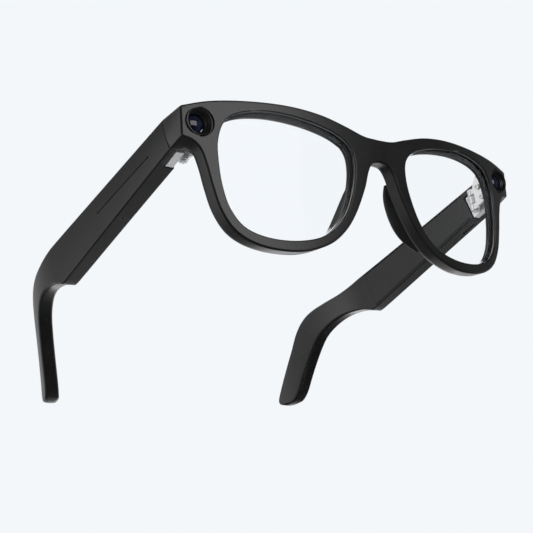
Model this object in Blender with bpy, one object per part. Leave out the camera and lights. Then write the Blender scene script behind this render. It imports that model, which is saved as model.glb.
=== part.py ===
"""Smart glasses: a front with two lenses and two camera-style modules, and two folding temples.

Lengths below are in millimetres and are turned into metres when a mesh is made.
Wearing frame: +X to the wearer's left, +Y from the front towards the ears, +Z up, with the
temples' straight undersides level. The whole model hangs from one empty, which tips it onto
the rims' lowest points and the temple tips, the way it rests on a table.
A front point is given by (x, h, d): h runs up the slanted front face, d is the depth behind it.
Each sided piece is modelled for the wearer's left and mirrored for the right.
"""
import math

import bmesh
import bpy
from mathutils import Matrix, Vector

MM = 0.001
GAP = 0.3

# Front
PANTO_ANGLE = math.radians(21.3)
FACE_WRAP = 0.0016466
FACE_WRAP_OUTER = 0.039
RIM_DEPTH = 5.3
RIM_BEVEL = 0.8
OPENING_BEVEL = 0.45
LENS_DEPTH = 2.6
LENS_THICKNESS = 1.8
LENS_GROOVE = 1.0
LENS_GROOVE_HALF = 1.3
PAD_HEIGHT = 4.8
PAD_LEAN = 1.3
PAD_SPAN = (2.3, 5.4)
ENDPIECE_BACK = 19.7
ENDPIECE_INNER_X = 66.8
ENDPIECE_TOP = 0.9

# Hinge
HINGE_X = 66.9
HINGE_Y = 23.6
HINGE_Z = -5.7
HINGE_TILT = math.radians(14.0)
KNUCKLE_RADIUS = 1.7
KNUCKLE_BORE = 0.9
KNUCKLE_LOWER = (-9.9, -7.5)
KNUCKLE_MIDDLE = (-7.2, -4.2)
KNUCKLE_UPPER = (-3.9, -1.5)
LEAF_PLATE_X = (65.3, 66.5)
LEAF_PLATE_TOP = 0.6
LEAF_HOLE = 0.95
ARM_INSET = 0.15
PILOT_HOLE = 0.9
FRONT_SCREW_Y = 18.2
LEAF_SCREW_Z = (-7.9, -3.4)
TEMPLE_SCREW_Y = 26.5
LEAF_BLOCK = (68.95, 71.8, 20.8, 27.9)
LEAF_BLOCK_Z = (-10.4, -1.2)
LEAF_POCKET = (72.2, 28.3, -0.8)

# Temple
TEMPLE_FRONT = 20.0
TEMPLE_BOTTOM = -10.56
TEMPLE_TOP = -0.47
TOP_SLOPE = 6.75
TOP_BOW = 0.85
TEMPLE_X = 74.6
TEMPLE_SPLAY = 0.029
TEMPLE_BOW = 0.735
TEMPLE_THICK = 7.57
TEMPLE_TAPER = 0.016
HOOK_THICK = 6.1
CURL = 19.6
CURL_START = 99.0
CURL_LENGTH = 78.0
TEMPLE_BEVEL = 0.7
WALL = 1.3
CAVITY_Y = (29.8, 91.0)
COVER_Y = (28.9, 93.0)
COVER_THICKNESS = 1.1
COVER_EDGE = 0.75
LINE_FRONT = (30.8, -5.2)
LINE_REAR = (64.9, -2.5)
LINE_WIDTH = 0.5
LINE_DEPTH = 0.4
MIC_Y = 55.8
SLOT_Y = (31.8, 38.8)
SLOT_WIDTH = 1.0

# Round modules
MODULE_X = 68.3
MODULE_H = -6.5
MODULE_RADIUS = 4.3
MODULE_BORE_DEPTH = 4.7
BOARD_DEPTH = 3.8
BOARD_THICKNESS = 0.6
BOARD_HALF = 2.9
# Turned outlines of a module's pieces, as (radius, depth behind the face).
BEZEL_RING = ((4.3, 0.2), (4.3, 2.7), (3.2, 2.7), (3.2, 1.7), (3.75, 0.4), (4.05, 0.0))
WINDOW_DOME = ((0, 1.3), (1.3, 1.4), (2.2, 1.75), (2.9, 2.2), (2.9, 2.65), (0, 2.65))
BARREL_TUBE = ((2.7, 2.95), (2.7, 3.5), (0, 3.5), (0, 3.25), (1.4, 3.25), (1.4, 2.95))

# Capture button, on top of the right temple
BUTTON_Y = 35.0
BUTTON_LENGTH = 7.4
BUTTON_WIDTH = 2.4
BUTTON_PROUD = 0.6
BUTTON_TRAVEL = 0.4
BUTTON_FLANGE = 0.6
CONTACT_Y = (33.5, 38.5)
CONTACT_Z = -6.0

# How far the model is tipped to rest on its rims and temple tips.
REST_PITCH = math.radians(-7.3)

# The opening of a rim in (x, h), from the nose side down, round and back along the top.
OPENING = (
    (11.6, -17.0), (13.0, -25.0), (17.3, -34.5), (25.0, -41.5), (35.0, -44.1), (46.0, -43.6),
    (54.5, -40.4), (59.3, -34.5), (61.5, -27.5), (62.4, -20.0), (62.3, -12.5), (59.8, -6.2),
    (54.5, -3.2), (45.0, -2.1), (36.0, -2.8), (26.0, -4.7), (17.5, -7.6), (12.8, -11.5),
)
# The rim's outer edge from the middle of the bridge's arch to the end piece's lower corner.
RIM_EDGE = (
    (0.0, -14.5), (3.4, -15.2), (5.6, -18.4), (8.0, -24.9), (12.7, -33.9), (17.7, -40.2),
    (24.3, -44.9), (34.0, -47.7), (44.1, -47.5), (52.5, -45.3), (58.8, -41.1), (62.9, -34.5),
    (65.2, -26.9), (66.7, -20.3), (68.5, -15.1), (71.3, -12.3), (74.2, -11.3),
)
# The brow line from the end piece's upper corner to the middle of the bridge.
BROW_EDGE = (
    (74.2, -1.2), (64.0, 0.55), (50.0, 1.1), (36.0, 0.65), (24.0, -1.0), (14.0, -3.7),
    (6.5, -5.95), (0.0, -6.35),
)
# Spans of matching stations: kind, from and to along the outer edge, from and to along the
# opening (as point numbers), and the number of steps.
SPANS = (
    ("rim", 0.0, 3.0, -0.4, 1.0, 6),
    ("rim", 3.0, 13.0, 1.0, 9.0, 20),
    ("rim", 13.0, 16.0, 9.0, 10.0, 4),
    ("side", 0.0, 1.0, 10.0, 11.0, 2),
    ("brow", 0.0, 1.0, 11.0, 12.0, 2),
    ("brow", 1.0, 5.0, 12.0, 16.0, 9),
    ("brow", 5.0, 7.0, 16.0, 16.8, 3),
    ("middle", 0.0, 1.0, 16.8, 17.6, 2),
)
# Underside and top of the ear hook in (y, z), in matching pairs.
HOOK = (
    ((88.0, -10.56), (88.0, 6.13)), ((95.6, -10.4), (96.0, 6.8)), ((98.0, -9.2), (99.5, 7.05)),
    ((103.0, -6.1), (105.0, 7.2)), ((109.8, -3.6), (112.0, 7.5)), ((116.0, -2.8), (119.5, 8.1)),
    ((122.0, -3.6), (127.0, 8.0)), ((127.0, -5.6), (132.5, 6.2)), ((131.0, -9.0), (137.5, 2.0)),
    ((135.5, -13.9), (142.3, -4.6)), ((139.8, -19.2), (147.5, -11.5)),
    ((143.5, -24.0), (152.5, -18.3)), ((146.5, -26.6), (155.8, -23.4)),
    ((149.5, -27.6), (154.8, -26.6)),
)

MATERIALS = {
    "black_plastic": ((0.030, 0.030, 0.033, 1.0), 0.42, 0.0),
    "pad_plastic": ((0.022, 0.022, 0.024, 1.0), 0.50, 0.0),
    "cover_plastic": ((0.045, 0.045, 0.048, 1.0), 0.45, 0.0),
    "clear_lens": ((0.90, 0.93, 0.95, 1.0), 0.05, 0.0),
    "hinge_steel": ((0.62, 0.63, 0.65, 1.0), 0.28, 1.0),
    "bezel_black": ((0.010, 0.010, 0.011, 1.0), 0.25, 0.0),
    "module_glass": ((0.010, 0.012, 0.020, 1.0), 0.04, 0.0),
    "board_green": ((0.020, 0.110, 0.060, 1.0), 0.55, 0.0),
    "battery_foil": ((0.55, 0.56, 0.58, 1.0), 0.35, 0.9),
    "speaker_metal": ((0.20, 0.20, 0.21, 1.0), 0.40, 0.8),
    "contact_gold": ((0.80, 0.58, 0.22, 1.0), 0.25, 1.0),
}


def clear_scene():
    for item in list(bpy.data.objects):
        bpy.data.objects.remove(item, do_unlink=True)


def material(name):
    found = bpy.data.materials.get(name)
    if found:
        return found
    colour, roughness, metallic = MATERIALS[name]
    made = bpy.data.materials.new(name)
    made.use_nodes = True
    shader = made.node_tree.nodes["Principled BSDF"]
    shader.inputs["Base Color"].default_value = colour
    shader.inputs["Roughness"].default_value = roughness
    shader.inputs["Metallic"].default_value = metallic
    made.diffuse_color = colour
    return made


def empty(name, parent, place_mm=(0, 0, 0)):
    holder = bpy.data.objects.new(name, None)
    bpy.context.scene.collection.objects.link(holder)
    holder.parent = parent
    holder.location = Vector(place_mm) * MM
    return holder


def add_object(bm, name, material_name, parent, side=1, origin=(0, 0, 0)):
    """Turns a bmesh in wearing-frame millimetres into a named object under its parent."""
    bmesh.ops.translate(bm, verts=bm.verts, vec=-Vector(origin))
    bmesh.ops.scale(bm, verts=bm.verts, vec=(MM * side, MM, MM))
    bmesh.ops.recalc_face_normals(bm, faces=bm.faces)
    mesh = bpy.data.meshes.new(name)
    bm.to_mesh(mesh)
    bm.free()
    mesh.shade_smooth()
    mesh.set_sharp_from_angle(angle=math.radians(35))
    thing = bpy.data.objects.new(name, mesh)
    bpy.context.scene.collection.objects.link(thing)
    thing.data.materials.append(material(material_name))
    thing.parent = parent
    return thing


def cut(target, tool, operation="DIFFERENCE"):
    """Adds an exact Boolean; the tool becomes a hidden wire guide."""
    tool.hide_render = True
    tool.display_type = "WIRE"
    step = target.modifiers.new("cut_" + tool.name, "BOOLEAN")
    step.object = tool
    step.operation = operation
    step.solver = "EXACT"


def smooth_point(points, u, closed=False):
    """A point on the smooth curve through the given points; whole numbers of u hit them."""
    count = len(points)
    index = math.floor(u)
    if not closed:
        index = min(max(index, 0), count - 2)
    t = u - index

    def at(i):
        if closed:
            return Vector(points[i % count])
        if i < 0:
            return 2 * Vector(points[0]) - Vector(points[1])
        if i >= count:
            return 2 * Vector(points[-1]) - Vector(points[-2])
        return Vector(points[i])

    a, b, c, d = at(index - 1), at(index), at(index + 1), at(index + 2)
    return 0.5 * (2 * b + (c - a) * t + (2 * a - 5 * b + 4 * c - d) * t**2
                  + (3 * b - a - 3 * c + d) * t**3)


def front_point(x, h, d):
    """The wearing-frame point of a front position."""
    wrap = FACE_WRAP * x * x + FACE_WRAP_OUTER * (x / 50) ** 4
    rise = h * math.cos(PANTO_ANGLE) + d * math.sin(PANTO_ANGLE)
    back = wrap - h * math.sin(PANTO_ANGLE) + d * math.cos(PANTO_ANGLE)
    return Vector((x, back, rise))


# ---------------------------------------------------------------- front frame

def front_stations():
    """Matching (outer, opening, kind) points round one half of the front."""
    stations = []
    for kind, out_a, out_b, in_a, in_b, steps in SPANS:
        for step in range(steps):
            t = step / steps
            u = out_a + (out_b - out_a) * t
            if kind == "rim":
                outer = smooth_point(RIM_EDGE, u)
            elif kind == "brow":
                outer = smooth_point(BROW_EDGE, u)
            elif kind == "side":
                outer = Vector(RIM_EDGE[-1]).lerp(Vector(BROW_EDGE[0]), t)
            else:
                outer = Vector(BROW_EDGE[-1]).lerp(Vector(RIM_EDGE[0]), t)
            opening = smooth_point(OPENING, in_a + (in_b - in_a) * t, closed=True)
            inside = kind == "middle" and step > 0
            stations.append((outer, opening, inside))
    return stations


def offset_outline(points, distance, fixed=()):
    """Moves each point of a loop to its left by a distance, mitred at corners."""
    moved = []
    count = len(points)
    for i, point in enumerate(points):
        if i in fixed:
            moved.append(point.copy())
            continue
        before = points[i - 1]
        after = points[(i + 1) % count]
        if abs(point.x) < 1e-9 and abs(before.x) < 1e-9:
            before = Vector((-after.x, after.y))
        elif abs(point.x) < 1e-9 and abs(after.x) < 1e-9:
            after = Vector((-before.x, before.y))
        way_in = (point - before).normalized()
        way_out = (after - point).normalized()
        normal = Vector((-way_in.y - way_out.y, way_in.x + way_out.x)).normalized()
        stretch = max(normal.dot(Vector((-way_in.y, way_in.x))), 0.6)
        moved.append(point + normal * distance / stretch)
    return moved


def front_rings():
    """The closed loops of the half front, as (x, h, d) per station, in section order."""
    stations = front_stations()
    outer = [s[0] for s in stations]
    opening = [s[1] for s in stations]
    inside = {i for i, s in enumerate(stations) if s[2]}
    outer_in = offset_outline(outer, RIM_BEVEL, inside)
    opening_out = offset_outline(opening, -OPENING_BEVEL)
    groove = offset_outline(opening, -LENS_GROOVE)
    middle = [a.lerp(b, 0.35) for a, b in zip(opening, outer)]
    rings = (
        (opening_out, 0.0), (opening, OPENING_BEVEL), (opening, LENS_DEPTH - LENS_GROOVE_HALF),
        (groove, LENS_DEPTH), (opening, LENS_DEPTH + LENS_GROOVE_HALF),
        (opening, RIM_DEPTH - OPENING_BEVEL), (opening_out, RIM_DEPTH), (middle, RIM_DEPTH),
        (outer_in, RIM_DEPTH), (outer, RIM_DEPTH - RIM_BEVEL), (outer, RIM_BEVEL),
        (outer_in, 0.0), (middle, 0.0),
    )
    return rings, inside


def half_front():
    """One half of the front as an open bmesh, cut off at the middle plane."""
    rings, inside = front_rings()
    bm = bmesh.new()
    grid = []
    for loop, depth in rings:
        grid.append([bm.verts.new(front_point(p.x, p.y, depth)) for p in loop])
    count = len(grid[0])
    open_rings = range(8, 11)
    for r, ring in enumerate(grid):
        following = grid[(r + 1) % len(grid)]
        for i in range(count):
            j = (i + 1) % count
            on_middle_plane = abs(ring[i].co.x) < 1e-6 and abs(ring[j].co.x) < 1e-6
            if r in open_rings and on_middle_plane:
                continue
            bm.faces.new((ring[i], ring[j], following[j], following[i]))
    loose = [v for v in bm.verts if not v.link_faces]
    bmesh.ops.delete(bm, geom=loose, context="VERTS")
    return bm


def front_frame(parent):
    bm = half_front()
    other = bmesh.ops.duplicate(bm, geom=bm.verts[:] + bm.edges[:] + bm.faces[:])
    copied = [g for g in other["geom"] if isinstance(g, bmesh.types.BMVert)]
    bmesh.ops.scale(bm, verts=copied, vec=(-1, 1, 1))
    bmesh.ops.remove_doubles(bm, verts=bm.verts, dist=0.001)
    frame = add_object(bm, "front_frame", "black_plastic", parent)
    for side, name in ((1, "left"), (-1, "right")):
        cut(frame, endpiece_body(parent, side, name), "UNION")
        cut(frame, module_bore(parent, side, name))
        for number, z in enumerate(LEAF_SCREW_Z, 1):
            cut(frame, leaf_screw_hole(parent, side, name, number, z))
    return frame


def prism(sections):
    """A closed body through matching loops of points, capped at both ends."""
    bm = bmesh.new()
    grid = [[bm.verts.new(p) for p in loop] for loop in sections]
    count = len(grid[0])
    for near, far in zip(grid, grid[1:]):
        for i in range(count):
            j = (i + 1) % count
            bm.faces.new((near[i], near[j], far[j], far[i]))
    bm.faces.new(grid[0])
    bm.faces.new(reversed(grid[-1]))
    bmesh.ops.recalc_face_normals(bm, faces=bm.faces)
    return bm


def endpiece_body(parent, side, name):
    """The block behind the front's corner that carries the hinge, as a union tool."""
    back_outer = temple_outer_x(ENDPIECE_BACK)
    start = [
        front_point(ENDPIECE_INNER_X, -13.0, 3.0), front_point(71.0, -12.0, 3.0),
        front_point(74.0, -11.15, 3.0), front_point(74.0, -1.6, 3.0),
        front_point(71.0, -0.9, 3.0), front_point(ENDPIECE_INNER_X, -0.6, 3.0),
    ]
    end = [
        Vector((ENDPIECE_INNER_X, ENDPIECE_BACK, TEMPLE_BOTTOM)),
        Vector((71.0, ENDPIECE_BACK, TEMPLE_BOTTOM)),
        Vector((back_outer, ENDPIECE_BACK, TEMPLE_BOTTOM)),
        Vector((back_outer, ENDPIECE_BACK, ENDPIECE_TOP)),
        Vector((71.0, ENDPIECE_BACK, ENDPIECE_TOP)),
        Vector((ENDPIECE_INNER_X, ENDPIECE_BACK, ENDPIECE_TOP)),
    ]
    bm = prism([start, end])
    return add_object(bm, "endpiece_tool_" + name, "black_plastic", parent, side)


# ---------------------------------------------------------------- round parts

def turned(profile, centre, axis, segments):
    """A closed body turned from (radius, distance along the axis) points, top to bottom."""
    bm = bmesh.new()
    turn = Vector((0, 0, 1)).rotation_difference(Vector(axis)).to_matrix()
    rows = []
    for radius, along in profile:
        if radius == 0:
            rows.append([bm.verts.new(Vector(centre) + turn @ Vector((0, 0, along)))])
            continue
        row = []
        for i in range(segments):
            angle = 2 * math.pi * i / segments
            spot = Vector((radius * math.cos(angle), radius * math.sin(angle), along))
            row.append(bm.verts.new(Vector(centre) + turn @ spot))
        rows.append(row)
    pairs = list(zip(rows, rows[1:]))
    if profile[0][0] and profile[-1][0]:
        pairs.append((rows[-1], rows[0]))
    for near, far in pairs:
        for i in range(segments):
            j = (i + 1) % segments
            corners = [near[i % len(near)], near[j % len(near)]]
            corners += [far[j % len(far)], far[i % len(far)]]
            distinct = list(dict.fromkeys(corners))
            if len(distinct) > 2:
                bm.faces.new(distinct)
    bmesh.ops.recalc_face_normals(bm, faces=bm.faces)
    return bm


def rod(radius, low, high, centre, axis, segments):
    profile = ((0, high), (radius, high), (radius, low), (0, low))
    return turned(profile, centre, axis, segments)


def box(x0, x1, y0, y1, z0, z1):
    loop_low = [Vector((x0, y0, z0)), Vector((x1, y0, z0)), Vector((x1, y1, z0)), Vector((x0, y1, z0))]
    loop_high = [Vector((p.x, p.y, z1)) for p in loop_low]
    return prism([loop_low, loop_high])


DEPTH_AXIS = (0.0, math.cos(PANTO_ANGLE), math.sin(PANTO_ANGLE))


def module_bore(parent, side, name):
    bm = rod(MODULE_RADIUS + GAP, -4.0, MODULE_BORE_DEPTH, module_centre(), DEPTH_AXIS, 28)
    return add_object(bm, "module_bore_" + name, "black_plastic", parent, side)


def module_centre():
    return front_point(MODULE_X, MODULE_H, 0)


def round_module(parent, side, names):
    """Bezel, domed window, inner barrel and board of one front module."""
    centre = module_centre()
    bezel, window, barrel, board = names
    bm = turned(BEZEL_RING, centre, DEPTH_AXIS, 28)
    add_object(bm, bezel, "bezel_black", parent, side)
    bm = turned(WINDOW_DOME, centre, DEPTH_AXIS, 24)
    add_object(bm, window, "module_glass", parent, side)
    bm = turned(BARREL_TUBE, centre, DEPTH_AXIS, 20)
    add_object(bm, barrel, "bezel_black", parent, side)
    half = BOARD_HALF
    corners = ((-half, -half), (half, -half), (half, half), (-half, half))
    middle = front_point(MODULE_X, MODULE_H, BOARD_DEPTH)
    near = [middle + Vector((a, 0, 0)) + up_front(b) for a, b in corners]
    far = [p + Vector(DEPTH_AXIS) * BOARD_THICKNESS for p in near]
    add_object(prism([near, far]), board, "board_green", parent, side)


def up_front(distance):
    """A step up the slanted front face."""
    return Vector((0, -math.sin(PANTO_ANGLE), math.cos(PANTO_ANGLE))) * distance


# ---------------------------------------------------------------- lenses and pads

def lens(parent, side, name):
    """A clear lens whose wedge-shaped edge sits in the rim's groove."""
    steps = 30
    count = len(OPENING)
    edge = [smooth_point(OPENING, i * count / steps, closed=True) for i in range(steps)]
    inner = offset_outline(edge, 0.35)
    tip = offset_outline(edge, -0.55)
    centre = Vector((37.0, -23.0))
    half = LENS_THICKNESS / 2
    layers = [(0.0, inner, -half), (0.5, inner, -half), (1.0, inner, -half), (1.0, tip, 0.0)]
    layers += [(1.0, inner, half), (0.5, inner, half), (0.0, inner, half)]
    bm = bmesh.new()
    rows = []
    for share, loop, depth in layers:
        if share == 0.0:
            rows.append([bm.verts.new(front_point(centre.x, centre.y, LENS_DEPTH + depth))])
            continue
        row = []
        for p in loop:
            spot = centre.lerp(p, share)
            row.append(bm.verts.new(front_point(spot.x, spot.y, LENS_DEPTH + depth)))
        rows.append(row)
    for near, far in zip(rows, rows[1:]):
        for i in range(steps):
            j = (i + 1) % steps
            corners = [near[i % len(near)], near[j % len(near)]]
            corners += [far[j % len(far)], far[i % len(far)]]
            bm.faces.new(list(dict.fromkeys(corners)))
    return add_object(bm, name, "clear_lens", parent, side)


def nose_pad(parent, side, name):
    """A moulded pad on the back of the rim beside the nose, highest in its middle."""
    first, last = PAD_SPAN
    steps = 8
    base = RIM_DEPTH + GAP
    sections = []
    for i in range(steps + 1):
        t = i / steps
        u = first + (last - first) * t
        edge = smooth_point(RIM_EDGE, u)
        along = (smooth_point(RIM_EDGE, u + 0.05) - smooth_point(RIM_EDGE, u - 0.05)).normalized()
        inward = Vector((-along.y, along.x))
        swell = math.sin(math.pi * (0.06 + 0.88 * t)) ** 0.8
        height = PAD_HEIGHT * swell
        lean = PAD_LEAN * swell
        profile = ((0.9, 0.0), (0.9 - lean * 0.6, height * 0.35), (0.9 - lean, height * 0.75),
                   (1.3 - lean * 0.6, height), (2.2, height * 0.92), (2.9, height * 0.45),
                   (3.1, 0.0))
        loop = []
        for inset, rise in profile:
            spot = edge + inward * inset
            loop.append(front_point(spot.x, spot.y, base + rise))
        sections.append(loop)
    return add_object(prism(sections), name, "pad_plastic", parent, side)


# ---------------------------------------------------------------- temples

def temple_outer_x(y):
    """The outer face: bowed slightly outwards, then curling in behind the ear."""
    straight = TEMPLE_X + TEMPLE_SPLAY * y - TEMPLE_BOW * (y / 100) ** 2
    curl = CURL * (1 - math.cos(math.pi * max(0.0, y - CURL_START) / CURL_LENGTH)) / 2
    return straight - curl


def temple_inner_x(y):
    return temple_outer_x(y) - max(TEMPLE_THICK - TEMPLE_TAPER * y, HOOK_THICK)


def temple_top_z(y):
    return TEMPLE_TOP + TOP_SLOPE * (y / 100) + TOP_BOW * (y / 100) ** 2


def temple_pairs():
    """Matching underside and top points (y, z) from the hinge to the tip."""
    pairs = []
    for y in (TEMPLE_FRONT, 36.0, 52.0, 68.0, 80.0):
        pairs.append((Vector((y, TEMPLE_BOTTOM)), Vector((y, temple_top_z(y)))))
    undersides = [p[0] for p in HOOK]
    tops = [p[1] for p in HOOK]
    half_steps = 2 * (len(HOOK) - 1)
    for step in range(half_steps + 1):
        u = step / 2
        if step % 2 and u < 3:
            continue
        pairs.append((smooth_point(undersides, u), smooth_point(tops, u)))
    return pairs


def temple_section(low, high):
    """An eight-sided ring with bevelled edges between an underside and a top point."""
    bevel = TEMPLE_BEVEL
    rise = (high - low).normalized() * bevel
    spots = (
        (low + rise, 0.0, "outer"), (high - rise, 0.0, "outer"), (high, bevel, "outer"),
        (high, bevel, "inner"), (high - rise, 0.0, "inner"), (low + rise, 0.0, "inner"),
        (low, bevel, "inner"), (low, bevel, "outer"),
    )
    ring = []
    for spot, inset, face in spots:
        if face == "outer":
            x = temple_outer_x(spot.x) - inset
        else:
            x = temple_inner_x(spot.x) + inset
        ring.append(Vector((x, spot.x, spot.y)))
    return ring


def temple_slab(y_range, low, high, outer_in, inner_in, steps=5):
    """A body that follows the temple: insets from the underside, top, outer and inner face."""
    sections = []
    for i in range(steps + 1):
        y = y_range[0] + (y_range[1] - y_range[0]) * i / steps
        x_out = temple_outer_x(y) - outer_in
        x_in = temple_inner_x(y) + inner_in
        z_low = TEMPLE_BOTTOM + low
        z_high = temple_top_z(y) - high
        sections.append([Vector((x_out, y, z_low)), Vector((x_out, y, z_high)),
                         Vector((x_in, y, z_high)), Vector((x_in, y, z_low))])
    return prism(sections)


def temple_block(y_range, z_range, outer_in, thickness):
    """A straight block beside the temple's outer wall."""
    x_out = min(temple_outer_x(y) for y in y_range) - outer_in
    return box(x_out - thickness, x_out, y_range[0], y_range[1], z_range[0], z_range[1])


class Temple:
    """One temple: its side, its hinge empty and the pieces that hang from it."""

    def __init__(self, root, side):
        self.side = side
        self.label = "left" if side > 0 else "right"
        self.origin = (HINGE_X, HINGE_Y, HINGE_Z)
        place = (HINGE_X * side, HINGE_Y, HINGE_Z)
        self.hinge = empty("hinge_axis_" + self.label, root, place)

    def add(self, bm, name, material_name):
        full_name = name + "_" + self.label
        return add_object(bm, full_name, material_name, self.hinge, self.side, self.origin)

    def tool(self, target, bm, name):
        cut(target, self.add(bm, "cut_" + name, "black_plastic"))


def temple_shell(temple):
    """The outer casing with its ear hook, open towards the wearer under the cover."""
    sections = [temple_section(low, high) for low, high in temple_pairs()]
    shell = temple.add(prism(sections), "temple_shell", "black_plastic")
    depth = COVER_THICKNESS + GAP
    temple.tool(shell, inner_cutter(COVER_Y, COVER_EDGE, depth), "cover_recess")
    temple.tool(shell, temple_slab(CAVITY_Y, WALL + 0.4, WALL + 0.4, WALL, -1.0), "cavity")
    x_pocket, y_pocket, z_pocket = LEAF_POCKET
    pocket = box(60.0, x_pocket, TEMPLE_FRONT - 1, y_pocket, TEMPLE_BOTTOM - 1, z_pocket)
    temple.tool(shell, pocket, "leaf_pocket")
    temple.tool(shell, line_cutter(), "side_line")
    for number, z in enumerate(LEAF_SCREW_Z, 1):
        pilot = rod(PILOT_HOLE, LEAF_BLOCK[0], 74.0, (0, TEMPLE_SCREW_Y, z), (1, 0, 0), 14)
        temple.tool(shell, pilot, "shell_pilot_%d" % number)
        screw = leaf_screw(LEAF_BLOCK[0] - GAP - 0.5, TEMPLE_SCREW_Y, z, 5.2)
        temple.add(screw, "temple_leaf_screw_%d" % number, "hinge_steel")
    return shell


def inner_cutter(y_range, edge, depth):
    """A cutter of the given depth into the inner face."""
    bm = temple_slab(y_range, edge, edge, 0.0, -1.0)
    for vert in bm.verts:
        outer = temple_outer_x(vert.co.y)
        if abs(vert.co.x - outer) < 1e-4:
            vert.co.x = temple_inner_x(vert.co.y) + depth
    return bm


def line_cutter():
    """The fine straight groove along the outer face."""
    sections = []
    steps = 4
    half = LINE_WIDTH / 2 * (LINE_DEPTH + GAP) / LINE_DEPTH
    for i in range(steps + 1):
        spot = Vector(LINE_FRONT).lerp(Vector(LINE_REAR), i / steps)
        x_out = temple_outer_x(spot.x)
        sections.append([Vector((x_out - LINE_DEPTH, spot.x, spot.y)),
                         Vector((x_out + GAP, spot.x, spot.y - half)),
                         Vector((x_out + GAP, spot.x, spot.y + half))])
    return prism(sections)


def inner_cover(temple):
    """The cover on the wearer's side, flush in its recess."""
    y_range = (COVER_Y[0] + GAP, COVER_Y[1] - GAP)
    bm = temple_slab(y_range, COVER_EDGE + GAP, COVER_EDGE + GAP, 0.0, 0.0)
    for vert in bm.verts:
        outer = temple_outer_x(vert.co.y)
        if abs(vert.co.x - outer) < 1e-4:
            vert.co.x = temple_inner_x(vert.co.y) + COVER_THICKNESS
    return temple.add(bm, "temple_inner_cover", "cover_plastic")


def hinge_tilted(bm):
    """Leans a body about the hinge's middle, from upright to along the hinge axis."""
    centre = Vector((HINGE_X, HINGE_Y, HINGE_Z))
    lean = Matrix.Rotation(HINGE_TILT, 3, "X")
    bmesh.ops.rotate(bm, cent=centre, matrix=lean, verts=bm.verts)
    return bm


def knuckle(z_range, radius=KNUCKLE_RADIUS, segments=20):
    """An upright cylinder on the hinge axis, leaned along it."""
    centre = (HINGE_X, HINGE_Y, 0)
    return hinge_tilted(rod(radius, z_range[0], z_range[1], centre, (0, 0, 1), segments))


def temple_leaf(temple):
    """The steel block in the temple's end, with the hinge's middle knuckle."""
    x0, x1, y0, y1 = LEAF_BLOCK
    z0, z1 = LEAF_BLOCK_Z
    leaf = temple.add(box(x0, x1, y0, y1, z0, z1), "hinge_temple_leaf", "hinge_steel")
    low, high = KNUCKLE_MIDDLE
    cut(leaf, temple.add(knuckle(KNUCKLE_MIDDLE), "knuckle_tool", "hinge_steel"), "UNION")
    web = box(HINGE_X, x0 + 1, HINGE_Y - 1.1, HINGE_Y + 1.3, low + ARM_INSET, high - ARM_INSET)
    web = hinge_tilted(web)
    cut(leaf, temple.add(web, "web_tool", "hinge_steel"), "UNION")
    temple.tool(leaf, knuckle((low - 1, high + 1), KNUCKLE_BORE, 16), "knuckle_bore")
    for number, z in enumerate(LEAF_SCREW_Z, 1):
        hole = rod(LEAF_HOLE, x0 - 1, x1 + 1, (0, TEMPLE_SCREW_Y, z), (1, 0, 0), 14)
        temple.tool(leaf, hole, "leaf_hole_%d" % number)
    return leaf


def leaf_screw(x_head, y, z, length):
    """A small pan-head screw driven towards +X."""
    profile = ((0, 0.0), (1.1, 0.0), (1.1, -0.5), (0.55, -0.5), (0.55, -length), (0, -length))
    return turned(profile, (x_head, y, z), (-1, 0, 0), 12)


def front_leaf(parent, side, label):
    """The silver plate on the end piece's inner side, with the two outer knuckles."""
    x0, x1 = LEAF_PLATE_X
    low, high = KNUCKLE_LOWER[0], KNUCKLE_UPPER[1]
    outline = ((17.7, low), (22.4, low), (20.4, high), (18.0, LEAF_PLATE_TOP),
               (13.5, LEAF_PLATE_TOP))
    plate = prism([[Vector((x, y, z)) for y, z in outline] for x in (x0, x1)])
    leaf = add_object(plate, "hinge_front_leaf_" + label, "hinge_steel", parent, side)
    for name, span in (("lower", KNUCKLE_LOWER), ("upper", KNUCKLE_UPPER)):
        tool_name = "front_knuckle_%s_%s" % (name, label)
        cut(leaf, add_object(knuckle(span), tool_name, "hinge_steel", parent, side), "UNION")
        arm = box(x0 + ARM_INSET, x1 - ARM_INSET, HINGE_Y - 3.2, HINGE_Y - 0.3,
                  span[0] + ARM_INSET, span[1] - ARM_INSET)
        arm = hinge_tilted(arm)
        tool_name = "front_arm_%s_%s" % (name, label)
        cut(leaf, add_object(arm, tool_name, "hinge_steel", parent, side), "UNION")
    bore = knuckle((low - 1, high + 1), KNUCKLE_BORE, 16)
    cut(leaf, add_object(bore, "front_bore_" + label, "hinge_steel", parent, side))
    for number, z in enumerate(LEAF_SCREW_Z, 1):
        hole = rod(LEAF_HOLE, x0 - 1, x1 + 1, (0, FRONT_SCREW_Y, z), (1, 0, 0), 14)
        tool_name = "front_hole_%d_%s" % (number, label)
        cut(leaf, add_object(hole, tool_name, "hinge_steel", parent, side))
        screw = leaf_screw(x0 - GAP - 0.5, FRONT_SCREW_Y, z, 4.0)
        add_object(screw, "front_leaf_screw_%d_%s" % (number, label), "hinge_steel", parent, side)


def leaf_screw_hole(parent, side, name, number, z):
    """The pilot hole of a front leaf screw in the end piece."""
    bm = rod(PILOT_HOLE, ENDPIECE_INNER_X - 2, 69.2, (0, FRONT_SCREW_Y, z), (1, 0, 0), 14)
    return add_object(bm, "pilot_%d_%s" % (number, name), "black_plastic", parent, side)


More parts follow.
